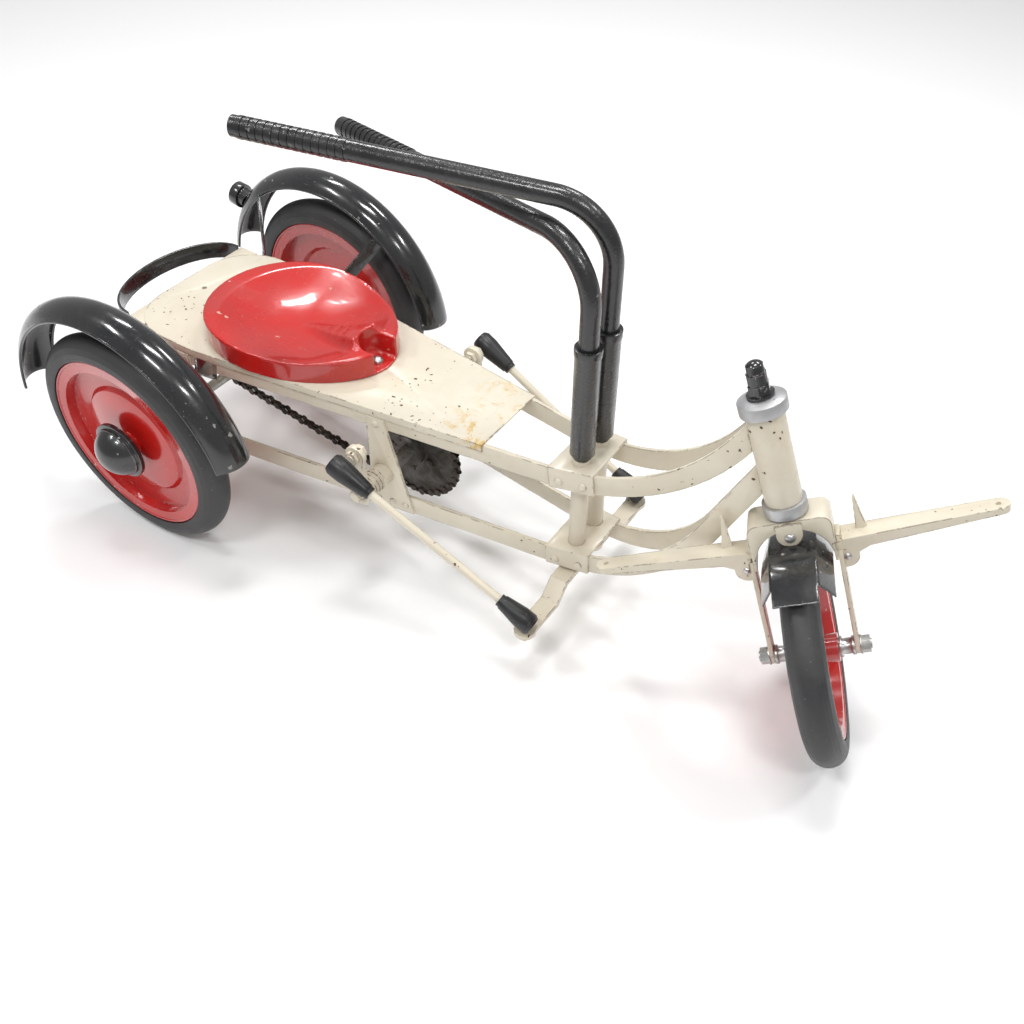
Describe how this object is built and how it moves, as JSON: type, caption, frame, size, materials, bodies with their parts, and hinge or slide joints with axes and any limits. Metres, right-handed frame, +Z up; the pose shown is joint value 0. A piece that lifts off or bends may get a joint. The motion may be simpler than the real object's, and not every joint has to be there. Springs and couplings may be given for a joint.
{
  "type": "pedal car",
  "caption": "Child's hand-lever tricycle: swinging handles drive the rear axle by push rods and a chain, and the feet steer the front wheel.",
  "frame": {"origin": "middle of the outline on the ground (bottom centre of the bounding box)", "axes": "+X forwards, +Y to the rider's left, +Z up"},
  "size_m": [1.0202, 0.446, 0.4878],
  "materials": {
    "cream_enamel": "gloss enamel, chipped and stained",
    "red_enamel": "gloss enamel, worn",
    "black_enamel": "gloss enamel, scratched",
    "grip_plastic": "textured, satin",
    "black_rubber": "matt",
    "tyre_rubber": "matt, dusty",
    "plated_steel": "dull zinc plate",
    "oily_steel": "dark, oily",
    "lamp_glass": "ribbed, gloss"
  },
  "bodies": {
    "frame": {"frame_upper_bar_right": "cream_enamel", "frame_upper_bar_left": "cream_enamel", "frame_lower_bar_right": "cream_enamel", "frame_lower_bar_left": "cream_enamel", "head_tube": "cream_enamel", "head_cups": "plated_steel", "upper_cross_bracket": "cream_enamel", "lower_cross_bracket": "cream_enamel", "handle_bearing_tubes": "cream_enamel", "rear_cross_beam": "cream_enamel", "deck_plate": "cream_enamel", "seat_pan": "red_enamel", "seat_bolt": "plated_steel", "rear_hoop": "black_enamel", "mudguard_right": "black_enamel", "mudguard_left": "black_enamel", "mudguard_stays": "black_enamel", "tail_lamp": "black_enamel", "tail_lamp_lens": "lamp_glass", "crank_brackets": "cream_enamel", "crank_bushes": "cream_enamel", "axle_hangers": "cream_enamel", "frame_rivets": "cream_enamel", "chain": "oily_steel"},
    "fork": {"fork_crown": "cream_enamel", "fork_blades": "cream_enamel", "steering_stem": "plated_steel", "stem_nuts": "black_enamel", "foot_bar_right": "cream_enamel", "foot_bar_left": "cream_enamel", "fork_fasteners": "plated_steel", "front_mudguard": "black_enamel", "front_axle": "plated_steel"},
    "front_wheel": {"front_rim": "red_enamel", "front_tyre": "tyre_rubber"},
    "driven_axle": {"rear_axle": "plated_steel", "rear_sprocket": "oily_steel", "rear_rim_right": "red_enamel", "rear_tyre_right": "tyre_rubber", "hub_cap_right": "black_enamel"},
    "free_wheel": {"rear_rim_left": "red_enamel", "rear_tyre_left": "tyre_rubber", "hub_cap_left": "black_enamel"},
    "crankshaft": {"crank_shaft": "plated_steel", "chainwheel": "oily_steel", "crank_arms": "cream_enamel", "crank_studs": "cream_enamel"},
    "right_handle": {"handle_tube_right": "black_enamel", "handle_grip_right": "grip_plastic", "handle_socket_right": "black_enamel", "lever_arm_right": "cream_enamel"},
    "left_handle": {"handle_tube_left": "black_enamel", "handle_grip_left": "grip_plastic", "handle_socket_left": "black_enamel", "lever_arm_left": "cream_enamel"},
    "right_rod": {"push_rod_right": "cream_enamel", "rod_boots_right": "black_rubber"},
    "left_rod": {"push_rod_left": "cream_enamel", "rod_boots_left": "black_rubber"}
  },
  "joints": [
    {"name": "steering", "type": "hinge", "parent": "frame", "child": "fork", "pos_m": [0.33647, 0, 0.2436], "axis": [-0.3843, 0, 0.9232], "range_deg": [0, 132]},
    {"name": "front_wheel_spin", "type": "hinge", "parent": "fork", "child": "front_wheel", "pos_m": [0.40193, -0.01864, 0.10794], "axis": [0.8434, 0.4067, 0.3511], "continuous": true},
    {"name": "rear_axle_spin", "type": "hinge", "parent": "frame", "child": "driven_axle", "pos_m": [-0.34503, 0, 0.127], "axis": [0, 1, 0], "continuous": true},
    {"name": "free_wheel_spin", "type": "hinge", "parent": "frame", "child": "free_wheel", "pos_m": [-0.34503, 0.173, 0.127], "axis": [0, 1, 0], "continuous": true},
    {"name": "crankshaft_spin", "type": "hinge", "parent": "frame", "child": "crankshaft", "pos_m": [-0.08723, 0, 0.127], "axis": [0, 1, 0], "continuous": true},
    {"name": "right_handle_swing", "type": "hinge", "parent": "frame", "child": "right_handle", "pos_m": [0.12997, -0.018, 0.15], "axis": [0, 0, 1], "range_deg": [-25, 25]},
    {"name": "left_handle_swing", "type": "hinge", "parent": "frame", "child": "left_handle", "pos_m": [0.12997, 0.018, 0.15], "axis": [0, 0, 1], "range_deg": [-25, 25]},
    {"name": "right_rod_pivot", "type": "hinge", "parent": "right_handle", "child": "right_rod", "pos_m": [0.12997, -0.117, 0.071], "axis": [0, 0, 1], "range_deg": [-25, 25]},
    {"name": "left_rod_pivot", "type": "hinge", "parent": "left_handle", "child": "left_rod", "pos_m": [0.12997, 0.117, 0.071], "axis": [0, 0, 1], "range_deg": [-25, 25]}
  ],
  "couplings": [
    {"joint": "crankshaft_spin", "follows": "rear_axle_spin", "ratio": 0.4},
    {"joint": "left_handle_swing", "follows": "right_handle_swing", "ratio": -1},
    {"joint": "right_rod_pivot", "follows": "right_handle_swing", "ratio": -1},
    {"joint": "left_rod_pivot", "follows": "right_handle_swing", "ratio": 1}
  ]
}
